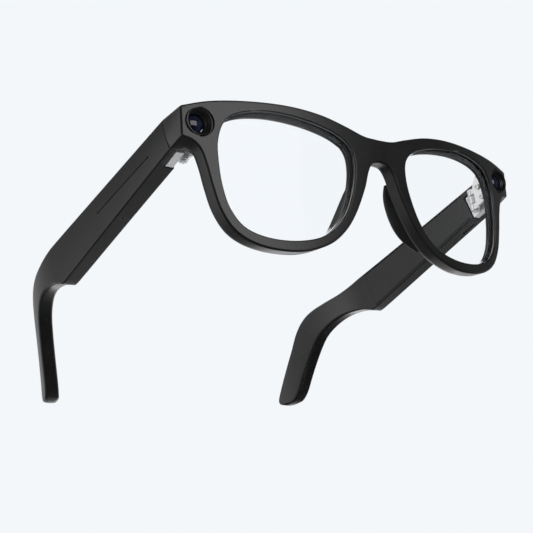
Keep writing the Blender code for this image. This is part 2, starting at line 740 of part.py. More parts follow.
def pivot_screw(parent, side, label):
    """The screw the temple turns on, driven from below."""
    top = KNUCKLE_UPPER[1] - 0.1
    seat = KNUCKLE_LOWER[0] - GAP
    base = seat - 0.55
    profile = ((0, top), (0.6, top), (0.6, seat), (1.3, seat), (1.3, base), (0, base))
    bm = hinge_tilted(turned(profile, (HINGE_X, HINGE_Y, 0), (0, 0, 1), 16))
    add_object(bm, "hinge_screw_" + label, "hinge_steel", parent, side)


# ---------------------------------------------------------------- electronics

def cavity_middle_x(y):
    """Halfway between the outer wall and the cover's back."""
    outer_wall = temple_outer_x(y) - WALL
    cover_back = temple_inner_x(y) + COVER_THICKNESS + GAP
    return (outer_wall + cover_back) / 2


def right_temple_pieces(temple, shell, cover, button_pivot):
    """Board, battery, speaker, microphone, contacts, switch and capture button."""
    board = temple_block((31.0, 53.0), (-8.4, -2.7), WALL + GAP, 0.9)
    temple.add(board, "main_board", "board_green")
    temple.add(temple_block((58.5, 82.0), (-8.5, 1.7), WALL + GAP, 2.9), "battery", "battery_foil")
    temple.add(temple_block((83.4, 90.4), (-8.3, 2.6), WALL + GAP, 2.4), "speaker", "speaker_metal")
    mouth = inner_cutter((84.5, 89.5), 0.0, 4.0)
    for vert in mouth.verts:
        vert.co.z = -3.4 if vert.co.z < 0 else -2.4
    temple.tool(cover, mouth, "speaker_mouth")
    mic_x = cavity_middle_x(MIC_Y)
    mic = box(mic_x - 1.2, mic_x + 1.2, MIC_Y - 1.3, MIC_Y + 1.3, -8.5, -7.5)
    temple.add(mic, "microphone", "speaker_metal")
    hole = rod(0.4, TEMPLE_BOTTOM - 1, -8, (mic_x, MIC_Y, 0), (0, 0, 1), 10)
    temple.tool(shell, hole, "mic_hole")
    for number, y in enumerate(CONTACT_Y, 1):
        face = temple_inner_x(y)
        hole = rod(1.0, face - 1, face + 3, (0, y, CONTACT_Z), (1, 0, 0), 16)
        temple.tool(cover, hole, "contact_hole_%d" % number)
        pin = rod(0.65, face + 0.1, face + 3.6, (0, y, CONTACT_Z), (1, 0, 0), 14)
        temple.add(pin, "charging_contact_%d" % number, "contact_gold")
    capture_button(temple, shell, button_pivot)


def capture_button(temple, shell, pivot):
    """The press button through the top wall, its flange and the switch below it."""
    middle = cavity_middle_x(BUTTON_Y)
    top = temple_top_z(BUTTON_Y) + BUTTON_PROUD
    roof = temple_top_z(BUTTON_Y - BUTTON_LENGTH / 2) - WALL - 0.4
    half_x, half_y = BUTTON_WIDTH / 2, BUTTON_LENGTH / 2
    hole = box(middle - half_x - GAP, middle + half_x + GAP, BUTTON_Y - half_y - GAP,
               BUTTON_Y + half_y + GAP, roof - 1, top + 2)
    temple.tool(shell, hole, "button_hole")
    flange_top = roof - GAP
    flange_low = flange_top - BUTTON_FLANGE
    cap = box(middle - half_x, middle + half_x, BUTTON_Y - half_y, BUTTON_Y + half_y,
              flange_top - 0.1, top)
    origin = (middle, BUTTON_Y, top)
    button = add_object(cap, "capture_button", "cover_plastic", pivot, temple.side, origin)
    flange = box(middle - half_x - 0.5, middle + half_x + 0.5, BUTTON_Y - half_y - 0.7,
                 BUTTON_Y + half_y + 0.7, flange_low, flange_top)
    cut(button, add_object(flange, "flange_tool", "cover_plastic", pivot, temple.side, origin),
        "UNION")
    switch_top = flange_low - BUTTON_TRAVEL - 0.1
    switch = box(middle - 1.3, middle + 1.3, BUTTON_Y - 1.5, BUTTON_Y + 1.5, switch_top - 1.1,
                 switch_top)
    temple.add(switch, "button_switch", "speaker_metal")


def left_temple_pieces(temple, shell):
    """Speaker with its mesh behind the underside slot, driver board and battery."""
    slot_x = cavity_middle_x(sum(SLOT_Y) / 2) + 0.6
    slot = box(slot_x - SLOT_WIDTH / 2, slot_x + SLOT_WIDTH / 2, SLOT_Y[0], SLOT_Y[1],
               TEMPLE_BOTTOM - 1, -8)
    temple.tool(shell, slot, "speaker_slot")
    mesh = box(slot_x - 1.0, slot_x + 1.0, SLOT_Y[0] - 0.5, SLOT_Y[1] + 0.5, -8.5, -8.2)
    temple.add(mesh, "speaker_mesh", "speaker_metal")
    temple.add(temple_block((31.0, 39.6), (-7.9, -1.4), WALL + GAP, 3.2), "speaker", "speaker_metal")
    temple.add(temple_block((41.0, 58.0), (-8.4, 0.4), WALL + GAP, 0.9), "driver_board", "board_green")
    temple.add(temple_block((60.0, 89.0), (-8.5, 1.7), WALL + GAP, 2.6), "battery", "battery_foil")


def rest_on_ground(root):
    """Tips the model and puts the middle of its box's underside at the origin."""
    root.rotation_euler = (REST_PITCH, 0, 0)
    bpy.context.view_layer.update()
    graph = bpy.context.evaluated_depsgraph_get()
    spots = []
    for item in bpy.data.objects:
        if item.type != "MESH" or item.hide_render:
            continue
        shape = item.evaluated_get(graph)
        spots += [item.matrix_world @ v.co for v in shape.data.vertices]
    lows = [min(p[i] for p in spots) for i in range(3)]
    highs = [max(p[i] for p in spots) for i in range(3)]
    root.location = (-(lows[0] + highs[0]) / 2, -(lows[1] + highs[1]) / 2, -lows[2])


def main():
    clear_scene()
    root = empty("glasses_rest", None)
    front_frame(root)
    for side, label in ((1, "left"), (-1, "right")):
        lens(root, side, "lens_" + label)
        nose_pad(root, side, "nose_pad_" + label)
        front_leaf(root, side, label)
        pivot_screw(root, side, label)
    round_module(root, -1, ("camera_bezel", "camera_window", "camera_barrel", "camera_board"))
    round_module(root, 1, ("sensor_bezel", "sensor_window", "sensor_barrel", "sensor_board"))
    for side in (1, -1):
        temple = Temple(root, side)
        shell = temple_shell(temple)
        cover = inner_cover(temple)
        temple_leaf(temple)
        if side > 0:
            left_temple_pieces(temple, shell)
            continue
        middle = cavity_middle_x(BUTTON_Y)
        top = temple_top_z(BUTTON_Y) + BUTTON_PROUD
        offset = (side * (middle - HINGE_X), BUTTON_Y - HINGE_Y, top - HINGE_Z)
        pivot = empty("button_axis", temple.hinge, offset)
        right_temple_pieces(temple, shell, cover, pivot)
    rest_on_ground(root)


main()
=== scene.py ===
import math

import bmesh
import bpy
from mathutils import Matrix, Vector


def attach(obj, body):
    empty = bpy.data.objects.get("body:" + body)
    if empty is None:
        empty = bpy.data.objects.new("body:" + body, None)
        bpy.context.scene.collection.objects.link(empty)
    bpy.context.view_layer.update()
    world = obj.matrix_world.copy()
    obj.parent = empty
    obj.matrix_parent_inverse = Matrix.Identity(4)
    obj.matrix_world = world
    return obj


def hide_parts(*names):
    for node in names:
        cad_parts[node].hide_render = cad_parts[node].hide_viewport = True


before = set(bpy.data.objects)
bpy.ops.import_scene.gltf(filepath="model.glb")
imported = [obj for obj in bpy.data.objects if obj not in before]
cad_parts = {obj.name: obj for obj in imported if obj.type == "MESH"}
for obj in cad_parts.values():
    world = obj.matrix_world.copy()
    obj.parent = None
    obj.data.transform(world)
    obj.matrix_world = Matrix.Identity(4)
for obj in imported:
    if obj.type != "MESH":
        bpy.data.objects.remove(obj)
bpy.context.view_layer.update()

MM = 0.001
GAP = 0.3
REST_TURN = Matrix.Rotation(math.radians(-7.3), 3, "X")
REST_SHIFT = Vector((0.0, -0.07645048, 0.04661799))
SHARP = math.radians(38)

# Front
PANTO_ANGLE = math.radians(21.3)
FACE_WRAP = 0.0016466
FACE_WRAP_OUTER = 0.039
RIM_DEPTH = 5.3
RIM_BEVEL = 0.8
OPENING_BEVEL = 0.45
LENS_DEPTH = 2.6
LENS_THICKNESS = 1.8
LENS_GROOVE = 1.0
LENS_CLEARANCE = 0.35
LENS_EDGE = 0.55
LENS_CENTRE = (37.0, -23.0)
PAD_HEIGHT = 4.8
PAD_LEAN = 1.3
PAD_SPAN = (2.3, 5.4)
ENDPIECE_BACK = 19.7
ENDPIECE_INNER_X = 66.8
ENDPIECE_TOP = 0.9
CORNER = 0.7
REAR_EDGE = 0.15
# The lip behind the lens: its share of the groove's depth, and where it runs along OPENING.
LIP = 1.1
LIP_MIDDLE = 13.2
LIP_SPAN = 3.4
DEPTH_AXIS = Vector((0.0, math.cos(PANTO_ANGLE), math.sin(PANTO_ANGLE)))

# Hinge
HINGE_X = 66.9
HINGE_Y = 23.6
HINGE_Z = -5.7
HINGE_TILT = math.radians(14.0)
KNUCKLE_LOW = -9.9
KNUCKLE_TOP = -1.5
LEAF_PLATE_X = 65.3
LEAF_BLOCK_X = 68.95
LEAF_POCKET = (72.2, 28.3, -0.8)
LEAF_SCREW_Z = (-7.9, -3.4)
FRONT_SCREW_Y = 18.2
TEMPLE_SCREW_Y = 26.5
PILOT_HOLE = 0.9
PILOT_END = (69.2, 74.0)
LEAF_SCREW_HEAD = (1.1, 0.5)
LEAF_SCREW_SHANK = 0.55
LEAF_SCREW_LENGTH = (4.0, 5.2)
HINGE_SCREW_HEAD = (1.3, 0.55)
HINGE_SCREW_SHANK = 0.6
RECESS_DEPTH = 0.24
RECESS_HALF = 0.13

# Temple
TEMPLE_FRONT = 20.0
TEMPLE_BOTTOM = -10.56
TEMPLE_TOP = -0.47
TOP_SLOPE = 6.75
TOP_BOW = 0.85
TEMPLE_X = 74.6
TEMPLE_SPLAY = 0.029
TEMPLE_BOW = 0.735
TEMPLE_THICK = 7.57
TEMPLE_TAPER = 0.016
HOOK_THICK = 6.1
CURL = 19.6
CURL_START = 99.0
CURL_LENGTH = 78.0
TIP_ROUNDING = 1.5
TEMPLE_CORNER = 0.62
HOOK_CORNER = 1.32
WALL = 1.3
EDGE_WALL = WALL + 0.4
COVER_SEAM = 0.03
CAVITY_Y = (29.8, 91.0)
COVER_Y = (28.9, 93.0)
COVER_THICKNESS = 1.1
COVER_EDGE = 0.75
CROWN = 0.32
LINE_FRONT = (30.8, -5.2)
LINE_REAR = (64.9, -2.5)
LINE_HALF = 0.42
MIC_Y = 55.8
MIC_RADIUS = 0.4
SLOT_Y = (31.8, 38.8)
SLOT_HALF = 0.6
MOUTH_Y = (84.5, 89.5)
MOUTH_Z = (-3.4, -2.4)
CONTACT_Y = (33.5, 38.5)
CONTACT_Z = -6.0
CONTACT_HOLE = 1.0

# Round modules
MODULE_X = 68.3
MODULE_H = -6.5
MODULE_BORE_DEPTH = 4.7
DOME_TOP = 1.3
DOME_RADIUS = 4.6
DOME_ANGLE = 39.0
DOME_STEPS = 14
# Turned profiles as (radius, depth behind the front).
MODULE_BORE = (
    (0, -3.0), (5.0, -3.0), (5.0, -0.02), (4.66, 0.03), (4.57, 0.10), (4.53, 0.25),
    (4.53, MODULE_BORE_DEPTH), (0, MODULE_BORE_DEPTH),
)
BEZEL_RING = (
    (4.42, 0.2), (4.42, 2.75), (3.1, 2.75), (3.1, 1.75), (3.3, 1.62), (3.38, 1.3),
    (3.6, 1.15), (3.72, 0.5), (3.9, 0.38), (4.0, 0.08), (4.12, 0.0), (4.34, 0.05),
)
BARREL_TUBE = (
    (2.7, 2.95), (2.7, 3.5), (0, 3.5), (0, 3.0), (0.45, 3.02), (0.8, 3.1), (1.0, 3.25),
    (1.25, 3.25), (1.3, 3.05), (1.75, 3.05), (1.8, 3.2), (2.1, 3.2), (2.2, 2.95),
)

# Capture button
BUTTON_Y = 35.0
BUTTON_LENGTH = 7.4
BUTTON_WIDTH = 2.4
BUTTON_PROUD = 0.6
FLANGE_THICKNESS = 0.6
FLANGE_REACH = (0.5, 0.7)

# Studio, in metres in the row frame
FLOOR_Z = -0.9
SUBJECT = (0.0, 0.0, 0.02)
CAMERA_PLACE = (-0.24168440, -0.28551085, -0.13642617)
CAMERA_TURN = (0.48731514, 0.81386558, -0.19994299, -0.24529488)
CAMERA_LENS = 71.9018
SOFTBOXES = (
    ("key", (0.05, -1.5, 0.1), (1.3, 0.9), 9.0),
    ("side", (-1.05, 0.5, 0.5), (0.45, 0.45), 0.7),
    ("back", (1.0, 1.45, -0.12), (0.8, 0.35), 1.4),
    ("low", (0.6, 0.8, -0.5), (0.6, 0.6), 0.3),
    ("top", (-0.5, 0.2, 1.4), (1.2, 1.2), 9.0),
)

# Outlines of the left half: (x, h) of the opening, of the rim's underside and of the brow, then
# the (y, z) of the temple's underside and top from its straight part round the ear hook.
OPENING = (
    (11.6, -17.0), (13.0, -25.0), (17.3, -34.5), (25.0, -41.5), (35.0, -44.1), (46.0, -43.6),
    (54.5, -40.4), (59.3, -34.5), (61.5, -27.5), (62.4, -20.0), (62.3, -12.5), (59.8, -6.2),
    (54.5, -3.2), (45.0, -2.1), (36.0, -2.8), (26.0, -4.7), (17.5, -7.6), (12.8, -11.5),
)
RIM_EDGE = (
    (0.0, -14.5), (3.4, -15.2), (5.6, -18.4), (8.0, -24.9), (12.7, -33.9), (17.7, -40.2),
    (24.3, -44.9), (34.0, -47.7), (44.1, -47.5), (52.5, -45.3), (58.8, -41.1), (62.9, -34.5),
    (65.2, -26.9), (66.7, -20.3), (68.5, -15.1), (71.3, -12.3), (74.2, -11.3),
)
BROW_EDGE = (
    (74.2, -1.2), (64.0, 0.55), (50.0, 1.1), (36.0, 0.65), (24.0, -1.0), (14.0, -3.7),
    (6.5, -5.95), (0.0, -6.35),
)
HOOK = (
    ((88.0, -10.56), (88.0, 6.13)), ((95.6, -10.4), (96.0, 6.8)), ((98.0, -9.2), (99.5, 7.05)),
    ((103.0, -6.1), (105.0, 7.2)), ((109.8, -3.6), (112.0, 7.5)), ((116.0, -2.8), (119.5, 8.1)),
    ((122.0, -3.6), (127.0, 8.0)), ((127.0, -5.6), (132.5, 6.2)), ((131.0, -9.0), (137.5, 2.0)),
    ((135.5, -13.9), (142.3, -4.6)), ((139.8, -19.2), (147.5, -11.5)),
    ((143.5, -24.0), (152.5, -18.3)), ((146.5, -26.6), (155.8, -23.4)),
    ((149.5, -27.6), (154.8, -26.6)),
)


# ---------------------------------------------------------------- finishes

def node(tree, kind, links=(), **values):
    """Adds a shader node; values set its properties, or its inputs where it has no such property."""
    made = tree.nodes.new(kind)
    for name, value in values.items():
        if hasattr(made, name):
            setattr(made, name, value)
        else:
            made.inputs[name.replace("_", " ")].default_value = value
    for socket, source in links:
        tree.links.new(source, made.inputs[socket])
    return made


def grey(value, tint=1.0):
    """A grey colour, bluer with a tint over one."""
    return (value, value, value * tint, 1.0)


def finish(name, dark, light, roughness, metallic=0.0, grain=(2600.0, 0.05), stretch=(1, 1, 1),
           patch=90.0, coat=0.0, edge_highlight=0.0):
    """A finish with mottled colour, uneven roughness, fine grain and a painted highlight on its
    sharp edges.
    """
    made = bpy.data.materials.new(name)
    made.use_nodes = True
    tree = made.node_tree
    shader = tree.nodes["Principled BSDF"]
    place = node(tree, "ShaderNodeTexCoord")
    scaled = node(tree, "ShaderNodeMapping", [("Vector", place.outputs["Object"])], Scale=stretch)
    fine = node(tree, "ShaderNodeTexNoise", [("Vector", scaled.outputs[0])],
                Scale=grain[0], Detail=3.0, Roughness=0.6)
    broad = node(tree, "ShaderNodeTexNoise", [("Vector", place.outputs["Object"])],
                 Scale=patch, Detail=4.0, Roughness=0.55)
    tone = node(tree, "ShaderNodeValToRGB", [("Fac", broad.outputs["Fac"])])
    tone.color_ramp.elements[0].position = 0.35
    tone.color_ramp.elements[0].color = dark
    tone.color_ramp.elements[1].position = 0.65
    tone.color_ramp.elements[1].color = light
    colour = tone.outputs["Color"]
    # Sharp edges are painted lighter by pointiness: a painted highlight line along them.
    if edge_highlight:
        shape = node(tree, "ShaderNodeNewGeometry")
        edge = node(tree, "ShaderNodeMapRange", [("Value", shape.outputs["Pointiness"])])
        edge.inputs["From Min"].default_value = 0.53
        edge.inputs["From Max"].default_value = 0.60
        patchy_highlight = node(tree, "ShaderNodeMath", [(0, edge.outputs[0]), (1, broad.outputs["Fac"])],
                      operation="MULTIPLY")
        mix = node(tree, "ShaderNodeMix", data_type="RGBA")
        tree.links.new(patchy_highlight.outputs[0], mix.inputs[0])
        tree.links.new(colour, mix.inputs[6])
        mix.inputs[7].default_value = tuple(min(1.0, c * (1 + edge_highlight)) for c in light[:3]) + (1.0,)
        colour = mix.outputs[2]
    tree.links.new(colour, shader.inputs["Base Color"])
    rough = node(tree, "ShaderNodeMapRange", [("Value", fine.outputs["Fac"])])
    rough.inputs["From Min"].default_value = 0.3
    rough.inputs["From Max"].default_value = 0.7
    rough.inputs["To Min"].default_value = roughness * 0.88
    rough.inputs["To Max"].default_value = roughness * 1.12
    tree.links.new(rough.outputs[0], shader.inputs["Roughness"])
    bump = node(tree, "ShaderNodeBump", [("Height", fine.outputs["Fac"])],
                Strength=grain[1], Distance=0.00005)
    tree.links.new(bump.outputs[0], shader.inputs["Normal"])
    shader.inputs["Metallic"].default_value = metallic
    shader.inputs["Coat Weight"].default_value = coat
    shader.inputs["Coat Roughness"].default_value = 0.06
    return made


def glass(name, colour, ior, smudge):
    """Clear glass with faint uneven polish."""
    made = bpy.data.materials.new(name)
    made.use_nodes = True
    tree = made.node_tree
    shader = tree.nodes["Principled BSDF"]
    place = node(tree, "ShaderNodeTexCoord")
    broad = node(tree, "ShaderNodeTexNoise", [("Vector", place.outputs["Object"])],
                 Scale=55.0, Detail=5.0, Roughness=0.6)
    rough = node(tree, "ShaderNodeMapRange", [("Value", broad.outputs["Fac"])])
    rough.inputs["From Min"].default_value = 0.45
    rough.inputs["From Max"].default_value = 0.75
    rough.inputs["To Min"].default_value = 0.0
    rough.inputs["To Max"].default_value = smudge
    tree.links.new(rough.outputs[0], shader.inputs["Roughness"])
    shader.inputs["Base Color"].default_value = colour
    shader.inputs["IOR"].default_value = ior
    shader.inputs["Transmission Weight"].default_value = 1.0
    return made


LOOKS = {
    # The last number of a finish paints its sharp edges lighter, as a painted highlight.
    "black_plastic": finish("satin_black", grey(0.0055, 1.05), grey(0.0085, 1.05), 0.30, edge_highlight=7.0),
    "pad_plastic": finish("pad_black", grey(0.005), grey(0.008), 0.34, grain=(1800.0, 0.04)),
    "cover_plastic": finish("cover_black", grey(0.006, 1.05), grey(0.009, 1.05), 0.31, edge_highlight=0.6),
    "clear_lens": glass("lens_clear", (0.985, 0.99, 0.995, 1.0), 1.1, 0.001),
    "hinge_steel": finish("brushed_steel", grey(0.78), grey(0.90), 0.42, 0.7,
                          grain=(700.0, 0.16), stretch=(1, 1, 9), edge_highlight=0.25),
    "bezel_black": finish("gloss_black", grey(0.006), grey(0.010), 0.30, grain=(2000.0, 0.02),
                          coat=0.08, edge_highlight=3.0),
    "module_glass": finish("module_glass", (0.003, 0.004, 0.008, 1), (0.010, 0.013, 0.030, 1),
                           0.04, grain=(900.0, 0.01), patch=500.0, coat=0.3),
    "board_green": finish("board_green", (0.012, 0.075, 0.040, 1), (0.020, 0.120, 0.062, 1), 0.45,
                          grain=(1500.0, 0.10), coat=0.3),
    "battery_foil": finish("battery_foil", grey(0.45), grey(0.60), 0.34, 0.9,
                           grain=(900.0, 0.2)),
    "speaker_metal": finish("speaker_metal", grey(0.14), grey(0.22), 0.38, 0.8,
                            grain=(2200.0, 0.2)),
    "contact_gold": finish("contact_gold", (0.72, 0.50, 0.18, 1), (0.85, 0.62, 0.26, 1), 0.22, 1.0,
                           grain=(1200.0, 0.06)),
}


# ---------------------------------------------------------------- mesh tools

def to_row(spot):
    """A wearing-frame point in millimetres as a row-frame point in metres."""
    return REST_TURN @ (Vector(spot) * MM) + REST_SHIFT


def raw_object(bm, name, side=1):
    """A bmesh in wearing-frame millimetres as a loose object in the row frame."""
    for vert in bm.verts:
        vert.co = to_row((vert.co.x * side, vert.co.y, vert.co.z))
    bmesh.ops.recalc_face_normals(bm, faces=bm.faces)
    mesh = bpy.data.meshes.new(name)
    bm.to_mesh(mesh)
    bm.free()
    thing = bpy.data.objects.new(name, mesh)
    bpy.context.scene.collection.objects.link(thing)
    return thing


def piece(bm, name, body, look, side=1, stands_for=(), cutters=(), bevel=0.0, second=None):
    """A shown piece that rides on a body, after its cutters are taken out of it."""
    thing = raw_object(bm, name, side)
    if cutters:
        carve(thing, [raw_object(tool, name + "_tool", side) for tool in cutters])
    mesh = thing.data
    mesh.materials.clear()
    mesh.materials.append(LOOKS[look])
    if second:
        mesh.materials.append(LOOKS[second])
    mesh.shade_smooth()
    mesh.set_sharp_from_angle(angle=SHARP)
    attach(thing, body)
    if stands_for:
        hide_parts(*stands_for)
    if bevel:
        soften(thing, bevel)
    weigh = thing.modifiers.new("even_shading", "WEIGHTED_NORMAL")
    weigh.keep_sharp = True
    return thing


def carve(thing, tools):
    """Takes the tools out of the object, and removes them."""
    for tool in tools:
        step = thing.modifiers.new("cut", "BOOLEAN")
        step.object = tool
        step.solver = "EXACT"
    graph = bpy.context.evaluated_depsgraph_get()
    carved = bpy.data.meshes.new_from_object(thing.evaluated_get(graph))
    thing.modifiers.clear()
    thing.data = carved
    for tool in tools:
        bpy.data.objects.remove(tool, do_unlink=True)


def soften(thing, width):
    """Rounds an object's sharp edges."""
    step = thing.modifiers.new("soft_edges", "BEVEL")
    step.width = width * MM
    step.segments = 3
    step.limit_method = "ANGLE"
    step.angle_limit = math.radians(30)


def smooth_point(points, u, closed=False):
    """A point on the smooth curve through the given points; whole numbers of u hit them."""
    count = len(points)
    index = math.floor(u)
    if not closed:
        index = min(max(index, 0), count - 2)
    t = u - index

    def at(i):
        if closed:
            return Vector(points[i % count])
        if i < 0:
            return 2 * Vector(points[0]) - Vector(points[1])
        if i >= count:
            return 2 * Vector(points[-1]) - Vector(points[-2])
        return Vector(points[i])

    a, b, c, d = at(index - 1), at(index), at(index + 1), at(index + 2)
    return 0.5 * (2 * b + (c - a) * t + (2 * a - 5 * b + 4 * c - d) * t**2
                  + (3 * b - a - 3 * c + d) * t**3)


def offset_outline(points, distance, fixed=()):
    """Moves each point of a loop to its left by a distance, mitred at corners."""
    moved = []
    count = len(points)
    for i, point in enumerate(points):
        if i in fixed:
            moved.append(point.copy())
            continue
        before = points[i - 1]
        after = points[(i + 1) % count]
        if abs(point.x) < 1e-9 and abs(before.x) < 1e-9:
            before = Vector((-after.x, after.y))
        elif abs(point.x) < 1e-9 and abs(after.x) < 1e-9:
            after = Vector((-before.x, before.y))
        way_in = (point - before).normalized()
        way_out = (after - point).normalized()
        normal = Vector((-way_in.y - way_out.y, way_in.x + way_out.x)).normalized()
        stretch = max(normal.dot(Vector((-way_in.y, way_in.x))), 0.6)
        moved.append(point + normal * distance / stretch)
    return moved


def prism(sections):
    """A closed body through matching loops of points, capped at both ends."""
    bm = bmesh.new()
    grid = [[bm.verts.new(p) for p in loop] for loop in sections]
    count = len(grid[0])
    for near, far in zip(grid, grid[1:]):
        for i in range(count):
            j = (i + 1) % count
            bm.faces.new((near[i], near[j], far[j], far[i]))
    bm.faces.new(grid[0])
    bm.faces.new(reversed(grid[-1]))
    bmesh.ops.recalc_face_normals(bm, faces=bm.faces)
    return bm


def turned(profile, centre, axis, segments):
    """A closed body turned from (radius, distance along the axis) points."""
    bm = bmesh.new()
    turn = Vector((0, 0, 1)).rotation_difference(Vector(axis)).to_matrix()
    rows = []
    for radius, along in profile:
        if radius == 0:
            rows.append([bm.verts.new(Vector(centre) + turn @ Vector((0, 0, along)))])
            continue
        row = []
        for i in range(segments):
            angle = 2 * math.pi * i / segments
            spot = Vector((radius * math.cos(angle), radius * math.sin(angle), along))
            row.append(bm.verts.new(Vector(centre) + turn @ spot))
        rows.append(row)
    pairs = list(zip(rows, rows[1:]))
    if profile[0][0] and profile[-1][0]:
        pairs.append((rows[-1], rows[0]))
    for near, far in pairs:
        for i in range(segments):
            j = (i + 1) % segments
            corners = [near[i % len(near)], near[j % len(near)]]
            corners += [far[j % len(far)], far[i % len(far)]]
            distinct = list(dict.fromkeys(corners))
            if len(distinct) > 2:
                bm.faces.new(distinct)
    bmesh.ops.recalc_face_normals(bm, faces=bm.faces)
    return bm


def rod(radius, low, high, centre, axis, segments=32):
    """A round bar from low to high along an axis through the centre."""
    return turned(((0, high), (radius, high), (radius, low), (0, low)), centre, axis, segments)


def box(x0, x1, y0, y1, z0, z1):
    """A closed block between two corners."""
    low = [Vector((x0, y0, z0)), Vector((x1, y0, z0)), Vector((x1, y1, z0)), Vector((x0, y1, z0))]
    return prism([low, [Vector((p.x, p.y, z1)) for p in low]])


def hinge_tilted(bm):
    """Leans a body about the hinge's middle, from upright to along the hinge axis."""
    lean = Matrix.Rotation(HINGE_TILT, 3, "X")
    centre = Vector((HINGE_X, HINGE_Y, HINGE_Z))
    bmesh.ops.rotate(bm, cent=centre, matrix=lean, verts=bm.verts)
    return bm


def label_of(side):
    """The wearer's side as a word: 1 is left and -1 is right."""
    return "left" if side > 0 else "right"


# ---------------------------------------------------------------- front frame

def front_point(x, h, d):
    """A point h up the slanted, wrapped front face and d behind it, in the wearing frame."""
    wrap = FACE_WRAP * x * x + FACE_WRAP_OUTER * (x / 50) ** 4
    rise = h * math.cos(PANTO_ANGLE) + d * math.sin(PANTO_ANGLE)
    back = wrap - h * math.sin(PANTO_ANGLE) + d * math.cos(PANTO_ANGLE)
    return Vector((x, back, rise))


def arc(start, corner, end, t):
    """A point on the round curve from start to end that the corner draws out."""
    return start * (1 - t) ** 2 + corner * (2 * t * (1 - t)) + end * t * t


class Station:
    """One cross-section of the front, from a point of the opening to one of the outline.

    On the end piece it also has a rear point on the piece's back, the way inward from there, its
    share of the way round, and how far the wall has grown back to it. Inside the bridge there is
    no wall.
    """

    def __init__(self, outer, opening_u, rear=None, inward=None, share=0.0, grown=0.0, inside=False):
        self.outer = Vector(outer)
        self.opening = smooth_point(OPENING, opening_u, closed=True)
        self.lip = LIP * max(0.0, 1 - abs(opening_u - LIP_MIDDLE) / LIP_SPAN) ** 0.5
        self.rear = rear
        self.inward = inward
        self.share = share
        self.grown = grown
        self.inside = inside


def spread(start, end, steps, last=False):
    """Even steps from start up to end, which is left out unless last is set."""
    count = steps if not last else steps - 1
    return [start + (end - start) * i / count for i in range(steps)]


def rim_stations():
    """The underside of one half, from the middle of the bridge to the end piece."""
    made = []
    for t in spread(0.0, 1.0, 16):
        made.append(Station(smooth_point(RIM_EDGE, 3 * t), -0.4 + 1.4 * t))
    for t in spread(0.0, 1.0, 66):
        made.append(Station(smooth_point(RIM_EDGE, 3 + 10.25 * t), 1 + 8.3 * t))
    return made


def endpiece_stations():
    """Round the end piece: its underside, its outer side and its top."""
    rear_x = temple_outer_x(ENDPIECE_BACK) - CROWN
    first_x = ENDPIECE_INNER_X + REAR_EDGE
    low_corner, high_corner = Vector(RIM_EDGE[-1]), Vector(BROW_EDGE[0])
    low_in, high_in = Vector((rear_x, TEMPLE_BOTTOM)), Vector((rear_x, ENDPIECE_TOP))
    up, left = Vector((0, 1)), Vector((-1, 0))
    made = []
    for t in spread(0.0, 1.0, 12):
        u = 13.3 + (15.68 - 13.3) * t
        rear = Vector((first_x + (rear_x - CORNER - first_x) * t, TEMPLE_BOTTOM))
        made.append((smooth_point(RIM_EDGE, u), 9.35 + 0.5 * t, rear, up, min(1.0, t * 1.7)))
    for t in spread(0.0, 1.0, 6):
        outer = arc(smooth_point(RIM_EDGE, 15.68), low_corner, low_corner + up * CORNER, t)
        rear = arc(low_in + left * CORNER, low_in, low_in + up * CORNER, t)
        made.append((outer, 9.85 + 0.2 * t, rear, up.lerp(left, t).normalized(), 1.0))
    for t in spread(0.0, 1.0, 8):
        outer = (low_corner + up * CORNER).lerp(high_corner - up * CORNER, t)
        rear = (low_in + up * CORNER).lerp(high_in - up * CORNER, t)
        rear.x += CROWN * (1 - (2 * t - 1) ** 2)
        made.append((outer, 10.05 + 0.9 * t, rear, left, 1.0))
    for t in spread(0.0, 1.0, 6):
        outer = arc(high_corner - up * CORNER, high_corner, smooth_point(BROW_EDGE, 0.1), t)
        rear = arc(high_in - up * CORNER, high_in, high_in + left * CORNER, t)
        made.append((outer, 10.95 + 0.2 * t, rear, left.lerp(-up, t).normalized(), 1.0))
    for t in spread(0.0, 1.0, 10, last=True):
        rear = Vector((rear_x - CORNER + (first_x - rear_x + CORNER) * t, ENDPIECE_TOP))
        made.append((smooth_point(BROW_EDGE, 0.1 + 0.62 * t), 11.15 + 0.5 * t, rear, -up, 1.0))
    total = len(made) - 1
    return [Station(outer, u, rear, inward, i / total, grown)
            for i, (outer, u, rear, inward, grown) in enumerate(made)]


def brow_stations():
    """The brow of one half, and across the middle of the bridge."""
    made = []
    for t in spread(0.0, 1.0, 40):
        made.append(Station(smooth_point(BROW_EDGE, 0.76 + 4.24 * t), 11.7 + 4.3 * t))
    for t in spread(0.0, 1.0, 12):
        made.append(Station(smooth_point(BROW_EDGE, 5 + 2 * t), 16 + 0.8 * t))
    top, low = Vector(BROW_EDGE[-1]), Vector(RIM_EDGE[0])
    for i, t in enumerate(spread(0.0, 1.0, 8)):
        made.append(Station(top.lerp(low, t), 16.8 + 0.8 * t, inside=i > 0))
    return made


# Rings round the section, as (share of the bevel towards the material, depth).
OPENING_RINGS = ((1.0, 0.0), (0.75, 0.02), (0.29, 0.13), (0.04, 0.32), (0.0, 0.5), (0.0, 1.02),
                 (0.34, 1.1), (0.34, 1.22), (0.0, 1.3))
OPENING_BACK_RINGS = ((0.0, 3.9), (0.0, 4.2), (0.30, 4.28), (0.30, 4.42), (0.0, 4.5), (0.0, 4.85),
                      (0.29, 5.17), (1.0, 5.3))
WALL_RINGS = ((1.0, 5.3), (0.29, 5.07), (0.0, 4.5), (0.0, 3.6), (0.0, 2.7), (0.0, 1.8), (0.0, 0.62))
FRONT_RINGS = ((0.05, 0.46), (0.16, 0.30), (0.62, 0.04), (0.74, 0.0))
WALL_SHARES = (0.92, 0.78, 0.62, 0.46, 0.30, 0.12, 0.0)
BACK_STEPS = 6


